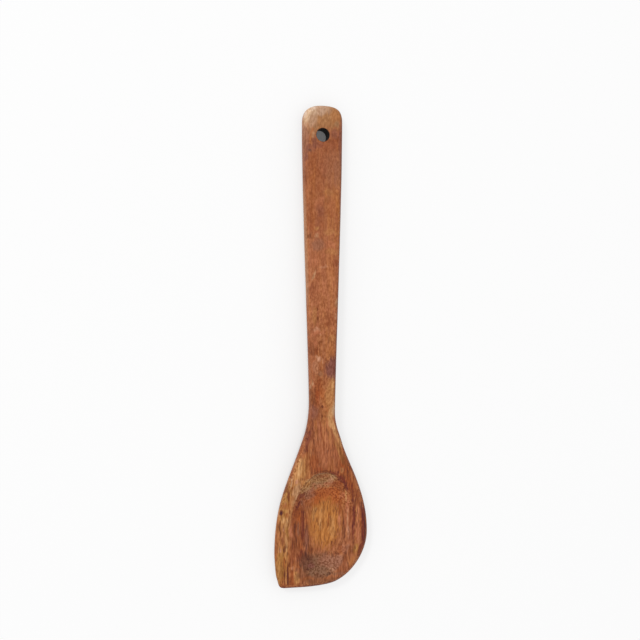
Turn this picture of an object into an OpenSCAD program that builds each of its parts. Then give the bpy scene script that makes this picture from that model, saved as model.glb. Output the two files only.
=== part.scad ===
// Wooden corner spoon carved from one piece: a tapered handle with a hanging hole, a neck,
// and a broad head with an oval hollow, one pointed corner and one round shoulder.
// Millimetres, Z up. The spoon lies on its back with the hollow facing up. The handle points
// to +Y, the pointed corner is at -X, -Y, and the origin is under the middle of its box.

/* [Overall] */
// Length from the end of the handle to the lowest edge of the head
length = 300; // [240:1:360]
// Width of the handle where its round end begins
handle_width = 25.6; // [20:0.1:32]
// Width of the neck at its narrowest
neck_width = 16.4; // [12:0.1:22]
// Reach of the head to the side of the pointed corner
corner_side_reach = 29.1; // [24:0.1:36]
// Reach of the head to its round side
round_side_reach = 30.2; // [24:0.1:36]
// Height of the neck's top above the table
neck_top = 13.4; // [10:0.1:18]

/* [Handle] */
// Length of the arched end of the handle
end_arch = 10.4; // [6:0.1:16]
// Distance from the handle's end to the neck on the corner side
neck_distance_corner_side = 187; // [160:1:210]
// Distance from the handle's end to the neck on the round side
neck_distance_round_side = 191.5; // [160:1:210]
// Height of the handle's top at its end
end_top = 9; // [6:0.1:12]
// Rise of the underside for each millimetre along the handle
underside_slope = 0.0245; // [0:0.0005:0.05]
// Width of the rounding along all the edges
edge_round = 2.7; // [1:0.1:4]
// Amount planed off where the spoon rests on the table
rest_cut = 0.4; // [0.2:0.1:1]

/* [Hanging hole] */
// Diameter of the hanging hole
hole_diameter = 8.4; // [4:0.1:12]
// Distance of its centre from the handle's end
hole_distance = 19; // [12:0.1:30]
// Distance of its centre from the handle's middle line, towards the corner side
hole_aside = 0.7; // [0:0.1:3]

/* [Head] */
// Angle between the head's corner side and the length of the spoon, just under the neck
corner_side_angle = 18.8; // [10:0.5:30]
// Angle between the head's round side and the length of the spoon, just under the neck
round_side_angle = 17.4; // [10:0.5:30]
// Distance from the handle's end to the widest place of the corner side
widest_distance_corner_side = 278; // [240:1:290]
// Distance from the handle's end to the widest place of the round side
widest_distance_round_side = 267.2; // [240:1:290]
// Lift of the underside at the front edge
front_lift = 3.6; // [1:0.1:8]
// Lift of the underside at the head's sides
side_lift = 4.2; // [1:0.1:8]
// Fall of the top from the neck to the front edge
front_fall = 4.2; // [1:0.1:8]
// Fall of the top from the middle to the head's sides
side_fall = 1.4; // [0:0.1:4]

/* [Hollow] */
// Depth of the hollow below the top
hollow_depth = 6.3; // [4:0.1:9]
// Half the width of the oval rim
hollow_half_width = 20.5; // [14:0.1:24]
// Half the length of the oval rim
hollow_half_length = 33.6; // [24:0.1:38]
// Lean of the oval, with its lower end towards the pointed corner
hollow_lean = 2.5; // [0:0.1:15]

/* [Smoothness] */
// Steps around the rounded edge
edge_steps = 8; // [4:2:16]
// Steps across the handle
cross_steps = 12; // [6:2:24]
// Rings between the rim and the bottom of the hollow
hollow_rings = 10; // [5:1:20]

/* [Hidden] */
$fn = 96;
half = length / 2;
handle_half = handle_width / 2;
neck_half = neck_width / 2;
front_y = -half;
end_y = half;
arch_y = end_y - end_arch;
neck_y = end_y - (neck_distance_corner_side + neck_distance_round_side) / 2;
hole_y = end_y - hole_distance;

// A place at a distance from the handle's end, x to the right
function at(x, distance) = [x, end_y - distance];

// A step of the given length in a direction given in degrees
function step(angle, size) = size * [cos(angle), sin(angle)];

// Eases from 0 to 1 with no slope at either end
function ease(t) = t <= 0 ? 0 : t >= 1 ? 1 : t * t * (3 - 2 * t);

// The outline is made of cubic curves from the handle's end to the front

rightwards = 0;
leftwards = 180;
down = 270;

// A curve between two places: at each it keeps a direction for about the given length
function curve(from, from_direction, from_pull, to, to_direction, to_pull) = [
    from,
    from + step(from_direction, from_pull),
    to - step(to_direction, to_pull),
    to,
];

handle_pull = 51;
neck_pull = 27;

// Fullness of the arched end's corners, along the width and along the handle
full_left = [0.74, 0.58];
full_right = [0.66, 0.88];

arch_start = [0, end_y];
arch_right = [handle_half, arch_y];
arch_left = [-handle_half, arch_y];

// Round side
neck_right = at(neck_half, neck_distance_round_side);
flare_right = at(12.8, 210);
widest_right = at(round_side_reach, widest_distance_round_side);
front_right = at(9.5, 297.6);
front_direction = 200;
round_direction = down + round_side_angle;

// Corner side
neck_left = at(-neck_half, neck_distance_corner_side);
flare_left = at(-11.4, 206.7);
widest_left = at(-corner_side_reach, widest_distance_corner_side);
side_end = at(-27.5, 293.4);
corner_direction = down - corner_side_angle;
side_end_direction = 290;

// The pointed corner's own small arc ends on the front edge
front_start = [-21.6, front_y];

right_curves = [
    curve(arch_start, rightwards, full_right[0] * handle_half,
        arch_right, down, full_right[1] * end_arch),
    curve(arch_right, down, handle_pull, neck_right, down, neck_pull),
    curve(neck_right, down, 7.2, flare_right, round_direction, 7.3),
    curve(flare_right, round_direction, 15.2, widest_right, down, 25.8),
    curve(widest_right, down, 12.2, front_right, front_direction, 13.6),
    curve(front_right, front_direction, 8, front_start, leftwards, 6.8),
];

left_curves = [
    curve(arch_start, leftwards, full_left[0] * handle_half,
        arch_left, down, full_left[1] * end_arch),
    curve(arch_left, down, handle_pull, neck_left, down, neck_pull),
    curve(neck_left, down, 2.1, flare_left, corner_direction, 8),
    curve(flare_left, corner_direction, 34.5, widest_left, down, 29.9),
    curve(widest_left, down, 1.5, side_end, side_end_direction, 2.5),
    curve(side_end, side_end_direction, 4.8, front_start, rightwards, 5.2),
];

// Steps along each curve: end arch, handle, neck, then the head
arch_steps = 8;
handle_steps = 11;
neck_steps = 5;
right_steps = [arch_steps, handle_steps, neck_steps, 11, 12, 9];
left_steps = [arch_steps, handle_steps, neck_steps, 14, 3, 6];
handle_rows = arch_steps + handle_steps + neck_steps;

function curve_point(c, t) =
    pow(1 - t, 3) * c[0] + 3 * t * pow(1 - t, 2) * c[1]
    + 3 * t * t * (1 - t) * c[2] + pow(t, 3) * c[3];

function path(curves, steps) = [
    for (i = [0 : len(curves) - 1])
        for (j = [0 : steps[i] - 1]) curve_point(curves[i], j / steps[i])
];

left_path = path(left_curves, left_steps);
right_path = path(right_curves, right_steps);

// The closed outline runs anticlockwise from the handle's end down the corner side
outline = concat(
    left_path,
    [front_start],
    [for (i = [len(right_path) - 1 : -1 : 1]) right_path[i]]
);
count = len(outline);

function unit(v) = v / norm(v);
function outward(k) =
    let (d = unit(outline[(k + 1) % count] - outline[(k + count - 1) % count]))
    [d[1], -d[0]];

// Heights of the top and of the underside

crest_radius = 25;
// How suddenly the top falls towards the front, and how suddenly the sides rise
fall_power = 1.3;
side_power = 2.2;
// The cross-section changes from handle to head over this length, from just above the neck
head_start = neck_y + 5;
head_change = 45;

// Distance from the neck, softened so that the top has a gentle crest there
function from_neck(y) =
    sqrt(pow(y - neck_y, 2) + pow(crest_radius, 2)) - crest_radius;

top_slope = (neck_top - end_top) / from_neck(end_y);
fall_length = from_neck(front_y);

function top_line(y) = y > neck_y
    ? neck_top - top_slope * from_neck(y)
    : neck_top - front_fall * pow(from_neck(y) / fall_length, fall_power);

// How far the place is into the head, from 0 on the handle to 1
function in_head(y) = ease((head_start - y) / head_change);

// The handle's top is slightly domed, and the head's top is flat in the middle
handle_crown = 0.0035;
flat_half = 5;
wing_width = 24;

function top_z(p) =
    let (head = in_head(p[1]))
    top_line(p[1])
    - (1 - head) * handle_crown * p[0] * p[0]
    - head * side_fall * ease((abs(p[0]) - flat_half) / wing_width);

// The underside starts to rise here, between the hole and the arched end
rise_start = end_y - 10;
// It is down again under the head
belly_y = -100;
belly_length = 55;
lift_start = -108;
// How gently the front's lift and the sides' lift run into each other
lift_blend = 2.5;

function under_handle(y) =
    max(0, rise_start - y) * underside_slope
    * (1 - ease((belly_y + belly_length - y) / belly_length));

function front_rise(y) =
    front_lift * pow(max(0, lift_start - y) / (lift_start - front_y), 2);

function side_rise(p) =
    side_lift * in_head(p[1]) * pow(abs(p[0]) / corner_side_reach, side_power);

function bottom_z(p) =
    under_handle(p[1]) - rest_cut
    + pow(
        pow(front_rise(p[1]), lift_blend) + pow(side_rise(p), lift_blend),
        1 / lift_blend
    );

// The oval rim of the hollow

rim_centre = [0.2, -111.7];
// The deepest place lies a little nearer to the neck and to the round side
hollow_centre = [3, -110];

function in_rim_frame(v) = [
    (v[0] * cos(hollow_lean) - v[1] * sin(hollow_lean)) / hollow_half_width,
    (v[0] * sin(hollow_lean) + v[1] * cos(hollow_lean)) / hollow_half_length,
];

// Fraction of the way from the deepest place to p at which the rim is crossed
function rim_fraction(p) =
    let (
        start = in_rim_frame(hollow_centre - rim_centre),
        along = in_rim_frame(p - hollow_centre),
        a = along * along,
        b = start * along,
        c = start * start - 1
    )
    (-b + sqrt(b * b - a * c)) / a;

// The wall is steep towards the neck and long and gentle towards the front
wall_power = 2.9;
wall_power_to_neck = 0.9;
wall_power_to_round_side = 0.25;

function hollow_power(p) =
    let (d = unit(p - hollow_centre))
    wall_power + wall_power_to_neck * d[1] + wall_power_to_round_side * d[0];

// The points

// A point of the rounded edge: -90 on the underside, 0 at the outline, 90 on the top
function edge_point(k, angle) =
    let (
        p = outline[k] - edge_round * (1 - cos(angle)) * outward(k),
        top = top_z(p),
        bottom = bottom_z(p)
    )
    [p[0], p[1], (top + bottom) / 2 + (top - bottom) / 2 * sin(angle)];

function inset_point(k) = outline[k % count] - edge_round * outward(k % count);

function on_top(p) = [p[0], p[1], top_z(p)];
function on_bottom(p) = [p[0], p[1], bottom_z(p)];
function mix(a, b, t) = a + (b - a) * t;

edge_points = [
    for (r = [0 : edge_steps])
        for (k = [0 : count - 1]) edge_point(k, -90 + 180 * r / edge_steps)
];

// Rows across the handle, from the corner side to the round side
row_points = [
    for (i = [1 : handle_rows])
        for (j = [1 : cross_steps - 1])
            mix(inset_point(i), inset_point(count - i), j / cross_steps)
];

// The loop around the head: its edge, closed by the last row of the handle
head_loop = concat(
    [for (k = [handle_rows : count - handle_rows]) inset_point(k)],
    [for (j = [cross_steps - 1 : -1 : 1])
        mix(inset_point(handle_rows), inset_point(count - handle_rows), j / cross_steps)]
);
head_count = len(head_loop);

margin_rings = 4;
belly_rings = 8;
// Below 1, the rings lie closer together near the rim
ring_spread = 0.75;
belly_centre = [0, -106];

// Between the edge and the rim, then down the hollow
function head_top_point(ring, k) =
    let (p = head_loop[k], rim = rim_fraction(p))
    ring <= margin_rings
        ? on_top(mix(hollow_centre, p, mix(1, rim, ring / margin_rings)))
        : let (
            s = pow(1 - (ring - margin_rings) / hollow_rings, ring_spread),
            q = mix(hollow_centre, p, rim * s)
        )
        on_top(q) - [0, 0, hollow_depth * (1 - pow(s, hollow_power(p)))];

last_ring = margin_rings + hollow_rings - 1;

head_top_points = [
    for (ring = [1 : last_ring])
        for (k = [0 : head_count - 1]) head_top_point(ring, k)
];

head_bottom_points = [
    for (ring = [1 : belly_rings - 1])
        for (k = [0 : head_count - 1])
            on_bottom(mix(head_loop[k], belly_centre, ring / belly_rings))
];

points = concat(
    edge_points,
    [for (p = row_points) on_top(p)],
    [for (p = row_points) on_bottom(p)],
    head_top_points,
    [on_top(hollow_centre) - [0, 0, hollow_depth]],
    head_bottom_points,
    [on_bottom(belly_centre)]
);

// The faces, listed anticlockwise as seen from outside

top_rows_at = len(edge_points);
bottom_rows_at = top_rows_at + len(row_points);
head_top_at = bottom_rows_at + len(row_points);
top_centre_at = head_top_at + len(head_top_points);
head_bottom_at = top_centre_at + 1;
bottom_centre_at = head_bottom_at + len(head_bottom_points);

function edge_at(ring, k) = ring * count + k % count;

// Point j of row i: its ends are on the edge
function row_at(edge, base, i, j) =
    j == 0 ? edge_at(edge, i)
    : j == cross_steps ? edge_at(edge, count - i)
    : base + (i - 1) * (cross_steps - 1) + j - 1;

// Point k of the loop around the head: first its edge, then the last row backwards
edge_part = count - 2 * handle_rows + 1;
function loop_at(edge, base, k) =
    k < edge_part
        ? edge_at(edge, handle_rows + k)
        : row_at(edge, base, handle_rows, cross_steps - 1 - (k - edge_part));

function ring_at(edge, rows, base, ring, k) =
    ring == 0
        ? loop_at(edge, rows, k % head_count)
        : base + (ring - 1) * head_count + k % head_count;

function quad(a, b, c, d) = [[a, b, c], [a, c, d]];

edge_faces = [
    for (r = [0 : edge_steps - 1])
        for (k = [0 : count - 1])
            each quad(edge_at(r, k), edge_at(r, k + 1),
                edge_at(r + 1, k + 1), edge_at(r + 1, k))
];

// Faces of a cap, seen anticlockwise from above
function row_faces(edge, rows) = concat(
    [for (j = [0 : cross_steps - 1])
        [edge_at(edge, 0), row_at(edge, rows, 1, j), row_at(edge, rows, 1, j + 1)]],
    [for (i = [1 : handle_rows - 1])
        for (j = [0 : cross_steps - 1])
            each quad(row_at(edge, rows, i, j), row_at(edge, rows, i + 1, j),
                row_at(edge, rows, i + 1, j + 1), row_at(edge, rows, i, j + 1))]
);

function ring_faces(edge, rows, base, rings, centre) = concat(
    [for (r = [0 : rings - 1])
        for (k = [0 : head_count - 1])
            each quad(ring_at(edge, rows, base, r, k), ring_at(edge, rows, base, r, k + 1),
                ring_at(edge, rows, base, r + 1, k + 1), ring_at(edge, rows, base, r + 1, k))],
    [for (k = [0 : head_count - 1])
        [ring_at(edge, rows, base, rings, k), ring_at(edge, rows, base, rings, k + 1), centre]]
);

upward_faces = concat(
    edge_faces,
    row_faces(edge_steps, top_rows_at),
    ring_faces(edge_steps, top_rows_at, head_top_at, last_ring, top_centre_at)
);

downward_faces = concat(
    row_faces(0, bottom_rows_at),
    ring_faces(0, bottom_rows_at, head_bottom_at, belly_rings - 1, bottom_centre_at)
);

faces = concat(
    [for (f = upward_faces) [f[2], f[1], f[0]]],
    downward_faces
);

// The part

middle_x = (max([for (p = outline) p[0]]) + min([for (p = outline) p[0]])) / 2;
below = 5;

module blank() {
    polyhedron(points = points, faces = faces, convexity = 8);
}

module spoon() {
    color([0.66, 0.42, 0.26])
    translate([-middle_x, 0, 0])
    difference() {
        blank();
        // Flat places under the head and the handle's end, on which it rests
        translate([-length, -length, -below])
        cube([2 * length, 2 * length, below]);
        // Hanging hole
        translate([-hole_aside, hole_y, -below])
        cylinder(d = hole_diameter, h = end_top + 2 * below);
    }
}

spoon();
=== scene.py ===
from math import cos, exp, hypot, log, pi, radians, sin, sqrt

import bpy
from mathutils import Matrix, Vector


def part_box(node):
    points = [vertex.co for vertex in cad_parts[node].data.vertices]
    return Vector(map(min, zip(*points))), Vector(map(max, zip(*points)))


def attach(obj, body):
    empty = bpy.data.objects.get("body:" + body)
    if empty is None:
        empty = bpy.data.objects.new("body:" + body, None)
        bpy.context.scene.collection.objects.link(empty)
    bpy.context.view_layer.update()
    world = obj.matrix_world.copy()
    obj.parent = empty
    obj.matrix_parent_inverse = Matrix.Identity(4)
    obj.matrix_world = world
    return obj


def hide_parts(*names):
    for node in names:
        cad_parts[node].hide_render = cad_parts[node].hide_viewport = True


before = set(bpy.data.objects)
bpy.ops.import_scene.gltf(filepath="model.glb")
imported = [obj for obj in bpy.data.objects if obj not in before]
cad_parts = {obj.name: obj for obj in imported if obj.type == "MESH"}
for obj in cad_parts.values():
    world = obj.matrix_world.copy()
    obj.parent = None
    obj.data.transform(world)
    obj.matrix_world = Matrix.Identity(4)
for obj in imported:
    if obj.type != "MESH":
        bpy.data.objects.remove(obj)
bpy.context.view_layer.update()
spoonLow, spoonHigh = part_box("spoon")
mm = 0.001

print("camera")
# the photograph is taken from a little to the left of straight above
cameraView = {
    "place": (-0.1455, 0.01465, 0.560),
    "aim": (0.00006, 0.01595, 0.0),
    "roll": -0.00704,
    "lens": 51.555,
}


def addCamera(v):
    camera = bpy.data.objects.new("camera", bpy.data.cameras.new("camera"))
    camera.data.lens = v["lens"]
    camera.data.sensor_width = 36
    camera.data.clip_start = 0.01
    forward = (Vector(v["aim"]) - Vector(v["place"])).normalized()
    right = forward.cross(Vector((sin(v["roll"]), cos(v["roll"]), 0))).normalized()
    up = right.cross(forward)
    turn = Matrix((right, up, -forward)).transposed()
    camera.matrix_world = Matrix.Translation(v["place"]) @ turn.to_4x4()
    bpy.context.collection.objects.link(camera)
    bpy.context.scene.camera = camera


addCamera(cameraView)

print("light")
lightLevels = {
    "world": 0.68,
    "backdrop": 0.97,
    "key": {"place": (-1.6, 1.4, 2.2), "size": 0.6, "watts": 38.0},
}


def addLamp(name, v):
    lamp = bpy.data.lights.new(name, "AREA")
    lamp.shape = "DISK"
    lamp.size = v["size"]
    lamp.energy = v["watts"]
    o = bpy.data.objects.new(name, lamp)
    o.location = v["place"]
    o.rotation_euler = (-Vector(v["place"])).to_track_quat("-Z", "Y").to_euler()
    bpy.context.collection.objects.link(o)


addLamp("keyLight", lightLevels["key"])
world = bpy.data.worlds.new("studio")
bpy.context.scene.world = world
world.use_nodes = True
bpy.context.scene.view_settings.view_transform = "Standard"


# node helpers: values may be numbers, colours or the output sockets of other nodes
def addNode(tree, kind, inputs=None, **props):
    n = tree.nodes.new(kind)
    for key, value in props.items():
        setattr(n, key, value)
    for key, value in (inputs or {}).items():
        feed(tree, n.inputs[key], value)
    return n


def feed(tree, socket, value):
    if isinstance(value, bpy.types.NodeSocket):
        tree.links.new(value, socket)
    else:
        socket.default_value = value


def calc(tree, operation, *values):
    n = addNode(tree, "ShaderNodeMath", operation=operation)
    for socket, value in zip(n.inputs, values):
        feed(tree, socket, value)
    return n.outputs[0]


def vectorCalc(tree, operation, *values):
    n = addNode(tree, "ShaderNodeVectorMath", operation=operation)
    for socket, value in zip(n.inputs, values):
        feed(tree, socket, value)
    return n.outputs["Value"] if operation in ("LENGTH", "DOT_PRODUCT") else n.outputs[0]


def mixColour(tree, amount, a, b):
    n = addNode(tree, "ShaderNodeMix", data_type="RGBA")
    for socket, value in ((0, amount), (6, a), (7, b)):  # the ones it uses for colours
        feed(tree, n.inputs[socket], value)
    return n.outputs[2]


def spread(tree, value, low, high, toLow=0.0, toHigh=1.0, smooth=False):
    n = addNode(tree, "ShaderNodeMapRange")
    n.interpolation_type = "SMOOTHSTEP" if smooth else "LINEAR"
    for socket, v in zip(n.inputs, (value, low, high, toLow, toHigh)):
        feed(tree, socket, v)
    return n.outputs[0]


# 1 where the eye, a reflection or clear glass looks straight at it, 0 where it lights things
def lookedAt(tree):
    rays = addNode(tree, "ShaderNodeLightPath")
    seen = calc(tree, "MAXIMUM", rays.outputs["Is Camera Ray"], rays.outputs["Is Glossy Ray"])
    return calc(tree, "MAXIMUM", seen, rays.outputs["Is Transmission Ray"])


def noise(tree, vector, detail=2.0, rough=0.5):
    n = addNode(tree, "ShaderNodeTexNoise", {"Vector": vector, "Scale": 1.0, "Detail": detail,
                                             "Roughness": rough})
    return n.outputs["Fac"]


# a colour as seen on screen, 0 to 255, as the render engine wants it
def linear(r, g, b):
    def one(c):
        c /= 255
        return c / 12.92 if c <= 0.04045 else ((c + 0.055) / 1.055) ** 2.4
    return (one(r), one(g), one(b), 1.0)


# ins holds each number's usual value, and None for a vector
def newGroup(name, ins, out, outKind="NodeSocketFloat"):
    tree = bpy.data.node_groups.new(name, "ShaderNodeTree")
    for label, value in ins.items():
        kind = "NodeSocketVector" if value is None else "NodeSocketFloat"
        socket = tree.interface.new_socket(name=label, in_out="INPUT", socket_type=kind)
        if value is not None:
            socket.default_value = value
    tree.interface.new_socket(name=out, in_out="OUTPUT", socket_type=outKind)
    return tree, tree.nodes.new("NodeGroupInput"), tree.nodes.new("NodeGroupOutput")


def useGroup(tree, group, **inputs):
    n = tree.nodes.new("ShaderNodeGroup")
    n.node_tree = group
    for key, value in inputs.items():
        feed(tree, n.inputs[key], value)
    return n


print("backdrop and floor")
sky = world.node_tree.nodes["Background"]
sky.inputs["Color"].default_value = (1, 1, 1, 1)
feed(world.node_tree, sky.inputs["Strength"],
     spread(world.node_tree, lookedAt(world.node_tree), 0.0, 1.0,
            lightLevels["world"], lightLevels["backdrop"]))
floorLook = {
    "size": 6.0,
    "colour": linear(247, 247, 248),
    "seen": 0.17,
    "glow": 0.81,
    "shadowReach": 0.03,
    "shadowSamples": 16,
    # how open the sky is at each end of the fade, and the glow that is left at its dark end
    "inHole": (0.22, 0.45, 0.135),
    "beside": (0.40, 1.0, 0.88),
}


def addFloor(v):
    half = v["size"] / 2
    mesh = bpy.data.meshes.new("floor")
    mesh.from_pydata([(-half, -half, 0), (half, -half, 0), (half, half, 0), (-half, half, 0)],
                     [], [(0, 1, 2, 3)])
    floor = bpy.data.objects.new("floor", mesh)
    bpy.context.collection.objects.link(floor)
    paper = bpy.data.materials.new("whitePaper")
    paper.use_nodes = True
    tree = paper.node_tree
    shader = tree.nodes["Principled BSDF"]
    shader.inputs["Roughness"].default_value = 1.0
    shader.inputs["Specular IOR Level"].default_value = 0.0
    shader.inputs["Emission Color"].default_value = (1, 1, 1, 1)
    # the eye sees a bright ground with a faint shadow; it lights nothing, and its glow fades where
    # the sky is closed in, as painted shade in the hole and beside the spoon
    seen = lookedAt(tree)
    seenColour = (v["seen"], v["seen"], v["seen"], 1)
    tree.links.new(mixColour(tree, seen, v["colour"], seenColour), shader.inputs["Base Color"])
    gap = addNode(tree, "ShaderNodeAmbientOcclusion", {"Distance": v["shadowReach"]},
                  samples=v["shadowSamples"])
    inHole = spread(tree, gap.outputs["AO"], *v["inHole"], 1.0, smooth=True)
    beside = spread(tree, gap.outputs["AO"], *v["beside"], 1.0)
    openness = calc(tree, "MULTIPLY", inHole, beside)
    glow = calc(tree, "MULTIPLY", calc(tree, "MULTIPLY", seen, openness), v["glow"])
    tree.links.new(glow, shader.inputs["Emission Strength"])
    mesh.materials.append(paper)


addFloor(floorLook)

print("spoon shape")
# millimetres; y runs from the handle's end (+) to the front of the head (-)
spoonShape = {
    "handleHalf": 12.8,
    "neckHalf": 8.2,
    "endArch": 10.4,
    "handlePulls": (51, 27),  # the pulls of the handle's sides, at its end and at the neck
    "frontMeet": -21.6,  # x where the curves of the two sides meet at the front
    "neckTop": 13.4,
    "endTop": 9.0,
    "crestRadius": 25.0,
    "handleCrown": 0.0035,
    "headStart": 5,
    "headChange": 45,
    "undersideSlope": 0.0245,
    "slopeFrom": 10,  # from the handle's end
    "slopeFade": (-45, 55),  # where the slope begins to fade, and over what length
    "restCut": 0.4,
    "edgeRound": 2.7,
    "frontFall": 4.2,
    "fallPower": 1.3,
    "sideFall": 1.4,
    "flatHalf": 5,
    "fallWidth": 24,
    "frontLift": 3.6,
    "liftStart": -108,
    "sideLift": 4.2,
    "sidePower": 2.2,
    "liftBlend": 2.5,
    "belly": (0, -106),
    "holeHalf": 4.2,
    "holeDistance": 19.0,
    "holeAside": 0.7,
    "holeEase": 0.4,
}
# places are x and the distance from the handle's end, and angles are where the outline heads;
# the pulls say how far each curve follows its end's direction, from the neck to the front
rightSide = {
    "endRound": (0.66, 0.88),
    "neck": 191.5,
    "flare": (12.8, 210),
    "flareAngle": 287.4,
    "reach": 30.2,
    "widest": 267.2,
    "front": (9.5, 297.6),
    "frontAngle": 200,
    "pulls": (7.2, 7.3, 15.2, 25.8, 12.2, 13.6, 8.0, 6.8),
}
leftSide = {
    "endRound": (0.74, 0.58),
    "neck": 187.0,
    "flare": (-11.4, 206.7),
    "flareAngle": 251.2,
    "reach": 29.1,
    "widest": 278.0,
    "front": (-27.5, 293.4),
    "frontAngle": 290,
    "pulls": (2.1, 8.0, 34.5, 29.9, 1.5, 2.5, 4.8, 5.2),
}
hollowShape = {
    "start": -60,  # nothing of the hollow lies nearer the handle than this
    "rimCentre": (0.2, -111.7),
    "halfWidth": 20.5,
    "halfLength": 33.6,
    "lean": 2.5,
    "deepest": (3.0, -110.0),
    "depth": 6.3,
    "wallPower": (2.9, 0.9, 0.25),  # how steep, and how much more to the neck and the right
    "rimSoftness": (0.75, 0.5),  # and how much less to the neck
}
meshSteps = {"arch": 22, "handle": 84, "neck": 22, "right": (40, 44, 34), "left": (54, 8, 22),
             "edge": 22, "across": 30, "margin": 16, "hollow": 36, "belly": 20, "end": 12,
             "pastArch": 8, "holeEase": 5, "holeWall": 8}
# below 1, the rings lie closer together at the rim of the hole or the hollow
ringSpread = {"end": 0.8, "margin": 0.7, "hollow": 0.8}
farOutside = 2.0  # stands for any place well away from the hollow
nearlyNothing = 1e-6
down = 270  # degrees, from the handle's end to the front

sh, ho = spoonShape, hollowShape
endY = (spoonHigh[1] - spoonLow[1]) / 2 / mm
frontY = -endY
middleX = (rightSide["reach"] - leftSide["reach"]) / 2
neckY = endY - (leftSide["neck"] + rightSide["neck"]) / 2


def place(x, distance):
    return Vector((x, endY - distance))


def toward(angle, size):
    return Vector((cos(radians(angle)), sin(radians(angle)))) * size


def ease(t):
    t = min(max(t, 0.0), 1.0)
    return t * t * (3 - 2 * t)


# cubic curves from the handle's end down one side to the front; side is 1 right and -1 left
def sideCurves(side, v):
    top, start = Vector((0, endY)), Vector((sh["frontMeet"], frontY))
    arch = Vector((side * sh["handleHalf"], endY - sh["endArch"]))
    across, along = v["endRound"]
    neck = place(side * sh["neckHalf"], v["neck"])
    flare, wide, front = place(*v["flare"]), place(side * v["reach"], v["widest"]), place(*v["front"])
    turn, frontTurn, pull = v["flareAngle"], v["frontAngle"], v["pulls"]
    fromArch, toNeck = sh["handlePulls"]
    return [
        (top, Vector((side * across * sh["handleHalf"], endY)),
         arch + Vector((0, along * sh["endArch"])), arch),
        (arch, arch + toward(down, fromArch), neck - toward(down, toNeck), neck),
        (neck, neck + toward(down, pull[0]), flare - toward(turn, pull[1]), flare),
        (flare, flare + toward(turn, pull[2]), wide - toward(down, pull[3]), wide),
        (wide, wide + toward(down, pull[4]), front - toward(frontTurn, pull[5]), front),
        (front, front + toward(frontTurn, pull[6]), start + Vector((side * pull[7], 0)), start),
    ]


def curvePoint(c, t):
    u = 1 - t
    return u**3 * c[0] + 3 * t * u * u * c[1] + 3 * t * t * u * c[2] + t**3 * c[3]


def sidePath(curves, steps):
    return [curvePoint(c, j / n) for c, n in zip(curves, steps) for j in range(n)]


def fromNeck(y):
    return hypot(y - neckY, sh["crestRadius"]) - sh["crestRadius"]


def topLine(y):
    if y > neckY:
        return sh["neckTop"] - (sh["neckTop"] - sh["endTop"]) * fromNeck(y) / fromNeck(endY)
    return sh["neckTop"] - sh["frontFall"] * (fromNeck(y) / fromNeck(frontY)) ** sh["fallPower"]


def inHead(y):
    return ease((neckY + sh["headStart"] - y) / sh["headChange"])


# the way and the distance to x, y from the hollow's deepest place
def fromDeepest(x, y):
    dx, dy = x - ho["deepest"][0], y - ho["deepest"][1]
    return dx, dy, hypot(dx, dy)


# distance from the hollow's deepest place to its rim, in the direction of x, y
def rimDistance(x, y):
    dx, dy, far = fromDeepest(x, y)
    c, s = cos(radians(ho["lean"])), sin(radians(ho["lean"]))

    def turned(u, v):
        return ((u * c - v * s) / ho["halfWidth"], (u * s + v * c) / ho["halfLength"])

    start = turned(ho["deepest"][0] - ho["rimCentre"][0], ho["deepest"][1] - ho["rimCentre"][1])
    along = turned(dx / far, dy / far)
    a = along[0] ** 2 + along[1] ** 2
    b = start[0] * along[0] + start[1] * along[1]
    q = start[0] ** 2 + start[1] ** 2 - 1
    return (-b + sqrt(b * b - a * q)) / a


# 0 at the hollow's deepest place, 1 at its rim, more outside
def hollowShare(x, y):
    far = fromDeepest(x, y)[2]
    if y > ho["start"]:
        return farOutside
    return far / rimDistance(x, y) if far > nearlyNothing else 0.0


# how far the hollow lies below the top, with a rim that is crisp near the neck
def hollowDrop(x, y):
    dx, dy, far = fromDeepest(x, y)
    if y > ho["start"]:
        return 0.0
    if far < nearlyNothing:
        return ho["depth"]
    rim = rimDistance(x, y)
    up, across = dy / far, dx / far
    power, toNeck, toRight = ho["wallPower"]
    power = power + toNeck * up + toRight * across
    soft, crisper = ho["rimSoftness"]
    soft = soft - crisper * up
    inside = (rim - far) / soft
    if inside < 30:  # further in, the rim's softness changes nothing
        inside = log(1 + exp(inside))
    inside *= soft
    s = max(0.0, 1 - inside / rim)
    return ho["depth"] * (1 - s**power)


def topZ(p):
    head = inHead(p[1])
    fall = head * sh["sideFall"] * ease((abs(p[0]) - sh["flatHalf"]) / sh["fallWidth"])
    return (topLine(p[1]) - (1 - head) * sh["handleCrown"] * p[0] ** 2 - fall
            - hollowDrop(p[0], p[1]))


def bottomZ(p):
    fadeStart, fadeLength = sh["slopeFade"]
    under = (max(0.0, endY - sh["slopeFrom"] - p[1]) * sh["undersideSlope"]
             * (1 - ease((fadeStart - p[1]) / fadeLength)))
    lift = sh["liftStart"]
    front = sh["frontLift"] * (max(0.0, lift - p[1]) / (lift - frontY)) ** 2
    side = sh["sideLift"] * inHead(p[1]) * (abs(p[0]) / leftSide["reach"]) ** sh["sidePower"]
    b = sh["liftBlend"]
    return under - sh["restCut"] + (front**b + side**b) ** (1 / b)


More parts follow.
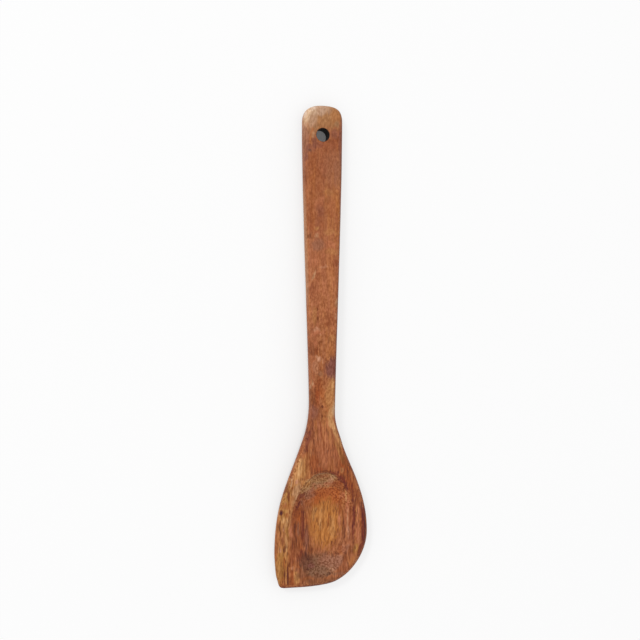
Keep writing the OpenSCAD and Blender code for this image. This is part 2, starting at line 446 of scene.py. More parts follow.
def buildSpoonMesh():
    n = meshSteps
    common = (n["arch"], n["handle"], n["neck"])
    leftPath = sidePath(sideCurves(-1, leftSide), common + n["left"])
    rightPath = sidePath(sideCurves(1, rightSide), common + n["right"])
    outline = leftPath + [Vector((sh["frontMeet"], frontY))] + rightPath[:0:-1]
    count = len(outline)
    outward = []
    for k in range(count):
        d = (outline[(k + 1) % count] - outline[k - 1]).normalized()
        outward.append(Vector((d[1], -d[0])))

    verts, faces = [], []
    marks = {"bore": [], "upper": [], "hollow": []}

    def add(p, z, bore=0.0, upper=0.0):
        verts.append(((p[0] - middleX) * mm, p[1] * mm, max(z, 0.0) * mm))
        marks["bore"].append(bore)
        marks["upper"].append(upper)
        marks["hollow"].append(hollowShare(p[0], p[1]) if upper == 1 else farOutside)
        return len(verts) - 1

    def bridge(a, b):
        for k in range(len(a)):
            j = (k + 1) % len(a)
            faces.append((a[k], a[j], b[j], b[k]))

    # the rounded edge, from the underside to the top
    rings = []
    for r in range(n["edge"] + 1):
        angle = -pi / 2 + pi * r / n["edge"]
        ring = []
        for k in range(count):
            p = outline[k] - outward[k] * sh["edgeRound"] * (1 - cos(angle))
            high, low = topZ(p), max(bottomZ(p), 0.0)
            ring.append(add(p, (high + low) / 2 + (high - low) / 2 * sin(angle),
                            upper=0.5 + 0.5 * sin(angle)))
        rings.append(ring)
    for a, b in zip(rings, rings[1:]):
        bridge(a, b)

    def flat(index):
        v = verts[index]
        return Vector((v[0] / mm + middleX, v[1] / mm))

    endRow = n["arch"] + n["pastArch"]
    headRow = sum(common)
    holeCentre = Vector((-sh["holeAside"], endY - sh["holeDistance"]))
    boreRims = []
    for ring, height, isTop in ((rings[-1], topZ, True), (rings[0], bottomZ, False)):
        first = len(faces)
        side = 1.0 if isTop else 0.0
        # rows across the handle
        rows = {}
        for i in range(endRow, headRow + 1):
            a, b = flat(ring[i]), flat(ring[count - i])
            inner = []
            for j in range(1, n["across"]):
                p = a.lerp(b, j / n["across"])
                inner.append(add(p, height(p), upper=side))
            rows[i] = [ring[i]] + inner + [ring[count - i]]
        for i in range(endRow, headRow):
            a, b = rows[i], rows[i + 1]
            for j in range(n["across"]):
                faces.append((a[j], b[j], b[j + 1], a[j + 1]))
        # the end, around the hanging hole
        loop = ring[count - endRow:] + ring[:endRow] + rows[endRow][:-1]
        radius = sh["holeHalf"] + sh["holeEase"]
        previous = loop
        for r in range(1, n["end"] + 1):
            t = (r / n["end"]) ** ringSpread["end"]
            current = []
            for index in loop:
                p = flat(index)
                rim = holeCentre + (p - holeCentre).normalized() * radius
                q = p.lerp(rim, t)
                current.append(add(q, height(q), upper=side))
            bridge(previous, current)
            previous = current
        # the eased rim of the hole
        for r in range(1, n["holeEase"] + 1):
            a = pi / 2 * r / n["holeEase"]
            current = []
            for index in previous:
                p = flat(index)
                d = (p - holeCentre).normalized()
                q = holeCentre + d * (radius - sh["holeEase"] * sin(a))
                z = height(holeCentre + d * radius)
                z = max(z, 0.0) if not isTop else z
                drop = sh["holeEase"] * (1 - cos(a))
                current.append(add(q, z - drop if isTop else z + drop,
                                   bore=r / n["holeEase"], upper=side))
            bridge(previous, current)
            previous = current
        boreRims.append(previous)
        # the head, around the hollow or the belly
        loop = ring[headRow:count - headRow] + rows[headRow][:0:-1]
        if isTop:
            centre = Vector(ho["deepest"])
            levels = [("margin", (r / n["margin"]) ** ringSpread["margin"])
                      for r in range(1, n["margin"] + 1)]
            levels += [("hollow", (1 - r / n["hollow"]) ** ringSpread["hollow"])
                       for r in range(1, n["hollow"])]
        else:
            centre = Vector(sh["belly"])
            levels = [("belly", r / n["belly"]) for r in range(1, n["belly"])]
        previous = loop
        for kind, t in levels:
            current = []
            for index in loop:
                p = flat(index)
                if kind == "belly":
                    q = p.lerp(centre, t)
                else:
                    rim = centre + (p - centre).normalized() * rimDistance(*p)
                    q = p.lerp(rim, t) if kind == "margin" else centre.lerp(rim, t)
                current.append(add(q, height(q), upper=side))
            bridge(previous, current)
            previous = current
        middle = add(centre, height(centre), upper=side)
        for k in range(len(previous)):
            faces.append((previous[k], previous[(k + 1) % len(previous)], middle))
        if not isTop:
            faces[first:] = [f[::-1] for f in faces[first:]]
    # the hole's wall, from the top rim to the bottom one
    topRim, bottomRim = boreRims
    previous = topRim
    for r in range(1, n["holeWall"] + 1):
        if r == n["holeWall"]:
            current = bottomRim
        else:
            current = []
            for a, b in zip(topRim, bottomRim):
                p = flat(a)
                z = verts[a][2] + (verts[b][2] - verts[a][2]) * r / n["holeWall"]
                current.append(add(p, z / mm, bore=1.0))
        bridge(previous, current)
        previous = current
    mesh = bpy.data.meshes.new("spoonWood")
    mesh.from_pydata(verts, [], faces)
    mesh.validate()
    mesh.update()
    marks["sideways"] = [v.normal[0] for v in mesh.vertices]
    marks["endGrain"] = [v.normal[1] for v in mesh.vertices]
    for name, values in marks.items():
        mesh.attributes.new(name, "FLOAT", "POINT").data.foreach_set("value", values)
    return mesh


spoonMesh = buildSpoonMesh()
print("spoon mesh:", len(spoonMesh.vertices), "points,", len(spoonMesh.polygons), "faces")

print("wood")
# the colours met on this spoon, as seen on screen
woodColours = {
    "pale": (222, 186, 150), "tan": (184, 140, 104), "greyTan": (156, 116, 82),
    "greyBrown": (122, 86, 64), "darkGrey": (92, 62, 48), "lightGold": (206, 152, 100),
    "golden": (188, 130, 78), "olive": (166, 116, 58), "amber": (174, 106, 56),
    "orange": (170, 90, 44), "brown": (152, 90, 56), "umber": (116, 62, 32),
    "rust": (146, 76, 40), "redBrown": (140, 74, 46), "maroon": (112, 52, 36),
    "nearBlack": (66, 30, 22), "mauve": (126, 76, 64), "dusk": (150, 98, 74),
    "salmon": (182, 110, 76), "pink": (200, 142, 110), "sand": (170, 122, 80),
    "honey": (180, 114, 58), "beige": (196, 160, 134), "cedar": (166, 98, 64),
    "ember": (150, 70, 34), "walnut": (122, 76, 52), "cocoa": (104, 62, 46),
    "cream": (230, 206, 186),
}
# colour, x, y, half width, half length and strength, then the turn in degrees where there is one,
# and the softness where it is not the usual one; all sizes in millimetres
usualSoftness = 0.35
anyDepth = 1e6  # a mark goes on through the wood
handleMarks = [
    # the pale and cream marks at the upper-left corner of the handle's end are pale wood with a
    # painted highlight on it
    ("sand", -1, 148, 15, 13, 0.8), ("beige", -5, 147, 8, 4.5, 0.7),
    ("beige", -8, 140.5, 3, 5, 0.5), ("tan", -11.5, 136, 3, 7, 0.4),
    ("amber", 7.5, 143, 4, 5, 0.35), ("pale", -11, 142.5, 1.6, 5.5, 0.7, -12),
    ("cream", -7.5, 147.5, 2, 0.9, 0.5, 25, 0.6), ("beige", -12.8, 134.5, 0.7, 4, 0.35, 0, 0.6),
    ("pale", -8, 145.5, 2.6, 2.6, 0.35), ("dusk", -12.6, 127, 2.4, 9, 0.7),
    ("mauve", -9.2, 122.5, 2.6, 3, 0.6), ("mauve", -3.4, 124.8, 1.8, 1.8, 0.6),
    ("mauve", 6.2, 132, 2.2, 3.2, 0.5), ("tan", -7.3, 130.5, 1.1, 2.2, 0.5),
    ("redBrown", -6, 117, 8, 10, 0.3, 0, 0.5), ("dusk", -13.2, 110, 1.6, 13, 0.6),
    ("mauve", -6.5, 126, 1.8, 3, 0.6), ("darkGrey", -9.6, 121, 1.2, 1.1, 0.6),
    ("mauve", -11.9, 117, 0.9, 3.2, 0.6), ("mauve", 10.2, 124, 1.3, 14, 0.55),
    ("dusk", 8, 108, 2.4, 9, 0.4), ("redBrown", 2, 125.5, 6, 3.4, 0.5),
    ("rust", -9, 100, 4.5, 16, 0.35, 0, 0.5), ("umber", -11.8, 106.5, 1.4, 4.5, 0.35, 0, 0.5),
    ("salmon", -5.5, 68, 1.4, 1.2, 0.7, 0, 0.6), ("salmon", 8.6, 66, 1.4, 1.8, 0.5, 0, 0.6),
    ("salmon", -5.8, 7.4, 1.4, 1.4, 0.75, 0, 0.6), ("dusk", 5, 110, 6, 13, 0.3, 0, 0.5),
    ("golden", 2, 95, 3, 2, 0.3), ("salmon", -4, 88, 2.2, 5, 0.4, -25),
    ("salmon", 5, 86, 2.5, 6, 0.35), ("amber", 8, 87, 1.8, 5, 0.35), ("rust", -9, 78, 2.6, 7, 0.5),
    ("mauve", -3, 83, 2.5, 4, 0.3), ("redBrown", 8, 78, 0.9, 8, 0.5),
    ("rust", -8.7, 72, 1.6, 2.4, 0.4), ("salmon", 0, 44, 12, 30, 0.22, 0, 0.5),
    ("umber", -10, 67.6, 1.2, 1.4, 0.7, 0, 0.6), ("golden", -5.3, 72.5, 1.6, 1.5, 0.6, 0, 0.6),
    ("salmon", -5, 68.6, 1.5, 1, 0.6, 0, 0.6), ("golden", 3.5, 70.5, 4, 2, 0.4),
    ("dusk", -4.5, 62.5, 4.2, 4, 0.75, 20), ("salmon", 3.5, 62.5, 4, 2.5, 0.45),
    ("golden", 4.5, 58.5, 4, 1.8, 0.35), ("salmon", -7, 53, 3.4, 3.5, 0.4),
    ("redBrown", 6.5, 51.5, 1.8, 2.5, 0.55), ("pink", -1, 49, 3, 1, 0.35),
    ("tan", -6.9, 43.5, 0.8, 3, 0.55, -18), ("redBrown", -3, 44.3, 2.6, 0.8, 0.4),
    ("redBrown", -8, 33.5, 2.2, 4.6, 0.5), ("salmon", -2.8, 34, 2.8, 1.4, 0.45),
    ("tan", 7.6, 28, 0.8, 1.2, 0.55), ("umber", -5, 22.5, 0.6, 1.3, 0.75),
    ("umber", -4.5, 17, 0.7, 1.3, 0.75), ("golden", -6.7, 18, 1.5, 5.5, 0.4),
    ("redBrown", 3, 15.5, 3.5, 3.5, 0.35), ("pink", 7.1, 18.6, 0.6, 2, 0.6),
    ("pink", -5, 9.6, 2, 1.5, 0.5), ("pink", -3, 7, 1, 1, 0.5), ("salmon", -4.4, 8, 2.6, 1.3, 0.7),
    ("rust", -10, 0, 1.5, 6, 0.5), ("golden", 4.5, 5, 2.5, 2, 0.4),
    ("salmon", -5.6, 1.6, 1.4, 1.1, 0.6), ("umber", -3.2, 2.3, 1.1, 0.9, 0.9),
    ("umber", -7.2, -1.8, 2.8, 3.8, 0.5, 0, 0.5), ("rust", -5.2, -3, 1.2, 3.2, 0.6),
    ("pink", -5, -6.5, 0.9, 1, 0.5), ("pink", -3.8, -8, 1.2, 1.6, 0.85, 0, 0.6),
    ("pink", -1.5, -9.5, 0.4, 1.6, 0.5), ("pink", -6, -13, 2, 4, 0.3),
    ("mauve", 4.7, -14.5, 4.2, 6.8, 0.95), ("maroon", 6.6, -13, 1.2, 5, 0.4),
    ("greyBrown", -2.5, -17, 1.8, 1.6, 0.4), ("tan", -7.6, -23, 0.6, 1.8, 0.6),
    ("tan", -8.5, -26, 0.5, 1.4, 0.5), ("golden", 3.6, -30, 3.2, 9, 0.6),
    ("lightGold", 4.9, -24, 0.9, 5, 0.5), ("rust", -4, -26, 2.4, 6, 0.75),
    ("orange", -1.8, -29, 1.5, 4, 0.4), ("umber", -7, -32, 2, 6, 0.65, 0, 0.5),
    ("ember", -4.8, -31.5, 1.2, 4, 0.6, 0, 0.5), ("darkGrey", -9.6, -32, 0.8, 8, 0.55),
    ("mauve", -6.6, -40.5, 2.4, 4.5, 0.65), ("umber", -1.6, -38.3, 1.3, 0.9, 1),
    ("umber", -1.5, -43, 0.7, 1.2, 0.9), ("lightGold", 3.9, -41.5, 1.7, 3.3, 0.75),
    ("lightGold", 5.9, -39, 1.1, 5, 0.9), ("rust", -5, -37, 1.4, 2, 0.45),
    # the cream at the end's upper-left corner is pale wood with a painted highlight
    ("cream", -12.4, 144.3, 1, 3, 0.65, -8, 0.6), ("tan", -13.6, 139.6, 0.9, 2.4, 0.6, 0, 0.6),
    ("greyTan", -5.8, 134.8, 1.6, 2.4, 0.5, 0, 0.6), ("greyTan", 7.6, 138, 1.6, 2, 0.7, 0, 0.6),
    ("greyBrown", -13.2, 126.8, 1.4, 4, 0.25, 0, 0.6), ("tan", -5.4, 68, 1.3, 1.1, 0.5, 0, 0.6),
    ("tan", 7.5, 26.8, 1.2, 2, 0.5, 0, 0.6), ("salmon", -6.2, 1.5, 1.2, 1.8, 0.55, 0, 0.6),
]
bladeMarks = [
    ("golden", -20.5, -98, 8, 24, 0.6, -6, 0.5), ("olive", -26, -137, 4.5, 13, 0.65, 0, 0.5),
    ("rust", -20, -137, 3.5, 12, 0.35, 0, 0.5), ("golden", -14.8, -77, 3.6, 10, 0.8, -17),
    ("redBrown", 0.5, -72, 9, 8, 0.4, 0, 0.5), ("cedar", 1, -63.5, 8, 4.5, 0.75, 0, 0.5),
    ("ember", 16, -86, 4, 8, 0.5, 20, 0.5), ("rust", 14, -79, 6, 8, 0.65, 22, 0.5),
    ("olive", -24, -98, 3.2, 12, 0.6, -10, 0.5), ("maroon", -8.6, -50, 2, 10, 0.4, 5),
    ("maroon", -10.4, -59, 1.4, 7, 0.75, -12), ("mauve", -11.8, -54.5, 1.2, 3, 0.6, -10),
    ("maroon", -12.1, -54.5, 1.5, 5, 0.6, -14), ("rust", -15.4, -65, 1.5, 6, 0.75, -22),
    ("rust", -20.2, -77.5, 1.5, 4.4, 0.9, -20), ("rust", -13.2, -68.6, 1.1, 2.8, 0.55, -18),
    ("ember", 12.6, -73.4, 2.4, 5.4, 0.5, 20), ("ember", -3, -76.8, 2.2, 1.6, 0.45),
    ("umber", -23.6, -87, 0.9, 8, 0.7, -17.5), ("umber", 17.8, -76.5, 0.8, 7, 0.6, 24),
    ("salmon", -3.6, -52, 0.8, 8, 0.65, 12), ("redBrown", -1.8, -53, 0.6, 9, 0.8, 12),
    ("salmon", 0.5, -55, 0.8, 6, 0.5, 10), ("lightGold", 5.2, -50, 1.8, 8, 0.75, 22),
    ("golden", 10, -66, 1.5, 8, 0.6, 22), ("lightGold", 10.4, -60, 1.1, 3.4, 0.65, 22),
    ("rust", -6.8, -72.5, 3, 5.5, 0.75), ("salmon", 1.5, -69, 3, 6, 0.35),
    ("umber", 11.2, -68, 1, 7, 0.65, 12), ("umber", 14.3, -75, 0.7, 5, 0.65, 20),
    ("umber", 15.3, -72.5, 0.9, 3, 0.65, 22), ("umber", 13.6, -68, 0.9, 2.4, 0.55, 18),
    ("maroon", 8.2, -79, 1.5, 1.2, 0.6), ("golden", -12, -77, 1.3, 3, 0.55, -10),
    ("lightGold", -15.3, -76, 1.3, 6, 0.85, -8), ("rust", -11, -71, 0.6, 6, 0.6),
    ("tan", -17.5, -91, 2.4, 7, 0.6, -20), ("amber", -20.4, -95, 1.8, 3.2, 0.6, -15),
    ("pink", -17, -83.5, 1, 1.5, 0.8), ("tan", -20.5, -84, 0.5, 3, 0.8, -8),
    ("umber", -19, -83, 0.4, 1.6, 0.8), ("umber", -22.5, -86, 0.7, 3, 0.9, -8),
    ("umber", -23.3, -88.8, 1.1, 2.8, 0.55, -16), ("umber", -22, -92.3, 0.8, 3.2, 1),
    ("rust", -19.8, -87.5, 0.7, 0.8, 0.7), ("pink", -24, -97, 0.5, 1.6, 0.4),
    ("rust", -22, -99, 2.4, 2, 0.5), ("rust", -23, -104.6, 1.5, 1.9, 0.55),
    ("umber", -21, -102, 0.5, 1.6, 0.8), ("maroon", -26, -103, 0.85, 1.5, 0.85),
    ("nearBlack", -26, -103, 0.5, 0.8, 0.85), ("rust", -28.3, -107, 0.8, 4, 0.4),
    ("pink", -27.5, -103.5, 0.5, 1.2, 0.6), ("lightGold", -25.4, -107.6, 0.9, 1.7, 0.8),
    ("lightGold", -23, -110, 0.8, 4, 0.75), ("umber", -27.2, -110, 0.5, 3.4, 0.6),
    ("umber", -21.9, -109, 0.4, 4, 0.7), ("olive", -22.5, -115, 0.8, 3, 0.6),
    ("pink", -24.5, -113.5, 0.5, 1.6, 0.7), ("umber", -26.5, -115.5, 0.4, 2, 0.8),
    ("maroon", -25.3, -120, 0.9, 3, 0.55), ("lightGold", -22.8, -123, 0.8, 5.5, 0.75, 6),
    ("umber", -24, -125.3, 0.6, 2.4, 0.8, 6), ("pink", -26.6, -125.5, 0.9, 2, 0.6),
    ("rust", -29, -128, 0.9, 6, 0.5), ("umber", -28.2, -123, 0.4, 2.4, 0.6),
    ("orange", -24, -133.5, 0.8, 3.5, 0.55), ("golden", -22.5, -130.5, 1, 2.6, 0.55),
    ("umber", -20.6, -135, 0.6, 1.4, 0.75), ("pink", -18.8, -137, 1, 1.4, 0.5),
    ("rust", -25, -145, 1.2, 3, 0.5), ("umber", -23.6, -143, 0.55, 6, 1, 0, 0.5),
    ("golden", -22.5, -143, 0.45, 6, 0.7), ("umber", -21.4, -141.5, 0.6, 7.5, 1, 0, 0.5),
    ("rust", -19, -144, 0.9, 5, 0.8), ("golden", -16.6, -143.5, 1.2, 4, 0.9),
    # painted shade: the walnut band along the front edge, and the rust and umber marks near y -148 to
    # its left, make the front edge's dark line
    ("golden", -15.2, -145, 0.9, 4.4, 0.75), ("walnut", -1, -146.6, 12, 2.3, 0.65, 2),
    ("rust", -16, -148, 3, 1.1, 0.55), ("umber", -23.2, -148.3, 1.2, 1, 0.5, 0, 0.6),
    ("rust", -24.6, -98.2, 1.2, 2.4, 0.6, -20, 0.6),
    ("salmon", -9.8, -83.6, 1.8, 1.6, 0.55, -35, 0.6),
    ("salmon", 7.2, -68, 1.2, 2.4, 0.55, 0, 0.6), ("tan", 5.8, -39.5, 1.6, 5, 0.4, 0, 0.5),
    ("umber", -10.5, -144.5, 2.2, 1.6, 0.5), ("rust", -24.6, -148, 2.4, 1.3, 0.6),
    ("golden", 11.6, -77.6, 1.1, 1.3, 0.7), ("umber", 15.2, -79.5, 0.4, 2, 0.8),
    ("brown", 18.8, -83, 1.8, 4, 0.5, 22), ("rust", 17.5, -88, 1.2, 4, 0.85, 6),
    ("redBrown", 22, -93, 1.3, 3.5, 0.7, 10), ("redBrown", 23, -98.5, 1.2, 1.6, 0.55),
    ("salmon", 22.8, -104, 0.8, 4.5, 0.85), ("salmon", 22.8, -116, 1, 7.5, 0.85),
    ("orange", 24.7, -110, 0.6, 7, 0.6), ("mauve", 25.2, -101, 0.8, 3, 0.8, 8),
    # painted shade: the maroon at x 26.6 and the near-black at x 27.7 darken the head's right edge
    ("maroon", 24.9, -104.6, 0.8, 3, 0.5, 5), ("maroon", 26.6, -113, 1.5, 15, 1),
    ("nearBlack", 27.7, -117, 1, 8, 0.6), ("maroon", 25.4, -127, 1, 4.5, 0.85, -18),
    ("olive", 22, -127, 1.6, 3, 0.6, -10), ("amber", 19.5, -135, 2.6, 3, 0.55, -40),
    ("salmon", -9.3, -41.5, 1.1, 2.4, 0.45, -14, 0.6), ("umber", -2, -42.2, 1.1, 3, 0.35, 0, 0.6),
    ("pale", 5.8, -39.8, 1, 2.6, 0.45, 0, 0.6), ("rust", 14, -68.8, 1.6, 4, 0.4, 22, 0.6),
    ("golden", -27.2, -138.8, 1.2, 4, 0.35, 0, 0.6),
]
hollowMarks = [
    # the wide red-brown on the left of the hollow is the wood's colour with painted shade on the
    # hollow's left wall
    ("redBrown", -15.5, -112, 5, 24, 0.6, 0, 0.5), ("orange", -16, -107, 3.2, 8, 0.45, 0, 0.5),
    ("orange", 3.5, -93.5, 11.5, 6.5, 0.85, 0, 0.4),
    ("honey", 2.7, -111, 9.8, 15.2, 0.95, 0, 0.22), ("honey", -4.2, -102, 2.4, 4, 0.5),
    # the sand marks make the pale crescent at the top of the hollow: end grain's own colour with a
    # painted sheen on it
    ("rust", 0, -91.5, 7, 3, 0.4), ("sand", -2, -83.3, 12, 5.4, 0.9, 0, 0.3),
    ("sand", -11.5, -87.5, 4.2, 4.2, 0.9, -30), ("honey", -10.2, -84.6, 2.6, 2, 0.65, -35),
    ("brown", -0.2, -81, 4.2, 1.5, 0.75), ("ember", 9.4, -85.4, 3.2, 2, 0.4),
    ("lightGold", -3.8, -102.8, 1.3, 2, 0.4), ("umber", -7, -127.6, 2.8, 2.2, 0.4),
    ("greyBrown", -1, -86.5, 7, 2.2, 0.4), ("dusk", -8, -92, 4.2, 3, 0.75),
    ("pink", 5, -84, 1.8, 1.8, 0.6), ("salmon", 13, -93.5, 1.4, 2.4, 0.7),
    ("umber", 13.7, -89, 0.5, 2, 0.75), ("orange", -3, -96, 1.6, 2.8, 0.6),
    ("golden", 7.6, -114, 1.9, 7, 0.65), ("golden", 0.5, -104.5, 2, 4, 0.4),
    ("golden", -4.6, -106, 1.3, 4, 0.65), ("lightGold", -0.2, -111.8, 1, 4, 0.45),
    ("rust", -8.8, -97.4, 1.7, 2.4, 0.55), ("rust", 7.6, -86.4, 3.2, 1.8, 0.6),
    ("umber", -6.9, -125.4, 1.9, 1.8, 0.6), ("rust", 13.8, -126, 1.2, 2, 0.5),
    ("rust", 5.2, -109, 0.4, 5, 0.7), ("rust", -4.2, -112, 0.4, 6, 0.5),
    ("umber", 10.3, -105, 0.4, 1.8, 0.8), ("umber", 10.8, -116.5, 0.4, 1.6, 0.8),
    ("rust", 12.3, -101, 0.8, 6, 0.7), ("salmon", 12, -110, 0.9, 4, 0.55),
    ("lightGold", 15.3, -93.5, 0.6, 4, 0.65, 8), ("salmon", 16.6, -105, 1, 10, 0.85),
    ("tan", 16.9, -108, 0.5, 7, 0.45), ("redBrown", 18.6, -103, 0.8, 9, 0.65),
    ("cedar", 18.3, -113, 0.9, 4.5, 0.7), ("umber", 14.6, -116, 1, 6.5, 0.75),
    ("pink", 17, -117, 0.9, 4, 0.5), ("umber", 12.5, -124.5, 0.9, 2.6, 0.65),
    ("umber", 7, -124.5, 0.5, 1.6, 0.75), ("umber", 9.2, -123.5, 0.4, 1.4, 0.65),
    ("dusk", 17, -128, 2.6, 4, 0.7, -20), ("pink", 14, -127, 0.9, 2.6, 0.5),
    ("rust", 13, -128, 2.2, 3, 0.55, -15), ("maroon", -13.4, -92.3, 1.9, 1.7, 0.75),
    ("maroon", -15.1, -98, 0.9, 3.8, 0.95, -22), ("dusk", -13, -97, 0.6, 2.6, 0.75),
    ("rust", -16, -103, 2.6, 3, 0.65), ("orange", -14, -107.2, 1.8, 2.4, 0.7),
    ("maroon", -11.6, -112, 1.3, 11, 0.85, 0, 0.5), ("umber", -17, -112.5, 0.9, 4.5, 0.85),
    ("umber", -16.6, -122, 0.9, 4.5, 0.8), ("dusk", -14.8, -113, 0.8, 4.5, 0.8),
    ("rust", -9.4, -107.5, 0.9, 4, 0.6), ("mauve", -9.3, -121, 1.3, 8.5, 0.7, 0, 0.5),
    ("rust", -13, -124, 1.3, 4, 0.75), ("maroon", -12.6, -131, 2.6, 5, 0.7),
    # the grey-brown crescent at the bottom of the hollow is end grain's own colour darkened as
    # painted shade, and the walnut along the rim below it is painted shade
    ("greyBrown", -2, -137.5, 12, 7.6, 0.9, 0, 0.45), ("walnut", -2, -144, 9, 2, 0.65),
    ("walnut", -13.6, -142, 2, 2.4, 0.55, 30), ("golden", -3.8, -103.2, 0.9, 2.6, 0.55, 0, 0.6),
    ("cocoa", -9, -134, 3.6, 6, 0.7), ("nearBlack", -9.2, -130.8, 1.5, 1.8, 0.45),
    ("mauve", -6.6, -136.3, 2.2, 1.5, 0.65), ("nearBlack", -9, -138.7, 0.9, 0.7, 0.65),
    ("dusk", 4, -134.5, 6, 3.5, 0.8), ("pink", 6.6, -138.8, 1.7, 1, 0.45),
    ("darkGrey", 5, -142.3, 1.8, 1.1, 0.6), ("walnut", 8.2, -142, 2.6, 1.6, 0.8, -20),
    ("dusk", 11, -134.5, 2.6, 3.8, 0.9, -10), ("umber", 14.5, -133.5, 1, 5, 0.75, -12),
    ("umber", 10.5, -130, 1.5, 0.9, 0.75), ("dusk", 11, -139.5, 3.4, 2.4, 0.7, -40),
    # the faint pink on the lower-left lip of the hollow is a painted highlight
    ("brown", -15.2, -138, 1.4, 5, 0.85, 32), ("pink", -15.6, -139, 0.6, 3, 0.3, 34),
]
# these run on through the rim
rimMarks = [
    ("ember", 11.6, -83.4, 2, 4.4, 0.5, 48), ("maroon", 12, -83.2, 1.4, 4, 0.7, 48),
    ("maroon", 14.6, -87.4, 1, 2.8, 0.85, 20), ("umber", 12.5, -80.8, 2.2, 0.7, 0.6, -35),
    ("maroon", 19, -95, 0.9, 5, 0.75, 6), ("maroon", 20.3, -109, 1, 13.5, 0.95),
    ("salmon", 20.6, -113, 0.4, 1.6, 0.6), ("salmon", -20, -114.3, 1.3, 4, 0.9),
    ("redBrown", -18.8, -128, 1.4, 8, 0.55), ("walnut", -12.6, -140.8, 4.4, 2, 0.65, 38),
    ("cocoa", -9.8, -142.3, 1.4, 1.2, 0.55, 0, 0.6),
    ("walnut", -16, -138.6, 1.6, 1.2, 0.45, 0, 0.6), ("golden", -10.8, -84.8, 2.4, 1.8, 0.8, -35),
    ("lightGold", -9.9, -83.6, 1.8, 1.3, 0.65, -35, 0.6),
    ("greyBrown", 8.2, -142, 1.6, 1.2, 0.6, 0, 0.6),
    ("dusk", 12.6, -143, 2.4, 1.2, 0.65, -30, 0.6), ("dusk", 21.6, -135, 1.6, 2.4, 0.4, -40, 0.6),
]
# thin lines and small places along the rim, which stay where they are put; the umber and maroon lines
# at its top, near y -78, are a painted shadow line
rimLines = [
    ("umber", -5, -78.3, 2.4, 0.6, 0.5, 22, 0.5), ("umber", 0.5, -77.6, 4, 0.7, 0.85, 0, 0.5),
    ("maroon", 6, -78.9, 2.6, 0.7, 0.85, -20, 0.5), ("tan", -2.5, -79.3, 2.6, 0.6, 0.45, 8, 0.5),
    ("tan", 6.2, -81.2, 1.6, 1, 0.65, -15, 0.5), ("sand", -6.2, -80.3, 1.6, 0.8, 0.6, 22, 0.5),
    ("umber", -3, -81.8, 1.6, 0.9, 0.4, 0, 0.5), ("umber", 3, -83, 1.4, 0.6, 0.4, 0, 0.5),
    ("salmon", 3, -86, 2.2, 1.1, 0.65, 0, 0.5), ("salmon", -2, -87.3, 2, 1.3, 0.55, 0, 0.5),
    ("salmon", -5.4, -86, 1.2, 0.9, 0.5, 0, 0.5), ("golden", -11.4, -86, 2.4, 1.3, 0.65, 35, 0.5),
    ("umber", -14, -82, 0.9, 1, 0.4, 0, 0.5), ("brown", 12, -77.2, 1.4, 1.6, 0.6, 0, 0.5),
    ("rust", -5.2, -91.5, 2.2, 1.2, 0.5, 0, 0.5), ("redBrown", 6.4, -85.6, 1.6, 1.2, 0.4, 0, 0.5),
    ("umber", 11, -88.4, 2.4, 1.1, 0.4, -30, 0.5), ("golden", -3.8, -103.2, 0.9, 1.8, 0.6, 0, 0.5),
]
woodFinish = {
    "plain": (168, 105, 68),
    "plainShare": 0.45,
    "warp": (2.0, 5.0),  # the marks are pushed about within this, in millimetres
    "lineRagged": 0.4,
    "middle": 0.34,
    "fine": 0.36,
    "hair": 0.16,
    "flecks": 0.30,
    "blotches": 0.35,
    "dots": 0.72,
    "haze": 0.0165,
    "pores": 0.55,
    "poreColour": (84, 38, 20),
    "tint": (1.0, 1.3, 1.6),  # the grain changes blue the most and red the least
    "rimLine": 0.45,
    "roughness": (0.50, 0.64),
    "specular": 0.32,
    "bump": 0.00004,  # metres
    # the hole's wall is painted near black, as painted shade deep in the hole
    "boreShade": (0.006, 0.003, 0.002, 1),
    "darkest": (0.004, 0.004, 0.004),
    "layerTilt": (0.10, 0.004, 0.55),
    "layers": ((0.15, "maroon"), (0.34, "redBrown"), (0.5, "brown"), (0.66, "amber"),
               (0.85, "golden")),
}
# width and length in millimetres, a shift that sets each pattern apart, and its detail
fibreSizes = {
    "wide": (2.6, 34, 11),
    "middle": (1.0, 9, 47),
    "fine": (0.62, 5, 83, 1),
    "hair": (0.3, 5, 151),
    "dashes": (0.6, 4.2, 131, 1),
}
# size in millimetres, detail and roughness
speckleSizes = {
    "flecks": ((1.1, 2.0, 1.1), 1.5, 0.6),
    "blotches": ((4.5, 5.0, 4.5), 2.0, 0.6),
    "dots": ((1.1, 1.2, 1.1), 1.0, 0.5),
    "push": ((3.2, 6.5, 3.2), 2.0, 0.5),
}
# the stretches of y in which one look goes over into the next
stretches = {
    "neck": (-52, -38),
    "leftFrom": (22, 34),
    "leftTo": (90, 104),
    "fleckFall": (20, 60),
    "rimLine": (-95, -84),
}


def grainBendGroup():
    tree, ins, outs = newGroup("grainBend", {"Vector": None, "Sway": 4.0},
                               "Vector", "NodeSocketVector")
    slow = vectorCalc(tree, "MULTIPLY", ins.outputs["Vector"], (0.035, 0.014, 0.035))
    side = calc(tree, "MULTIPLY", calc(tree, "SUBTRACT", noise(tree, slow, 1.0), 0.5),
                ins.outputs["Sway"])
    shift = addNode(tree, "ShaderNodeCombineXYZ", {"X": side, "Z": side})
    moved = vectorCalc(tree, "ADD", ins.outputs["Vector"], shift.outputs[0])
    tree.links.new(moved, outs.inputs["Vector"])
    return tree


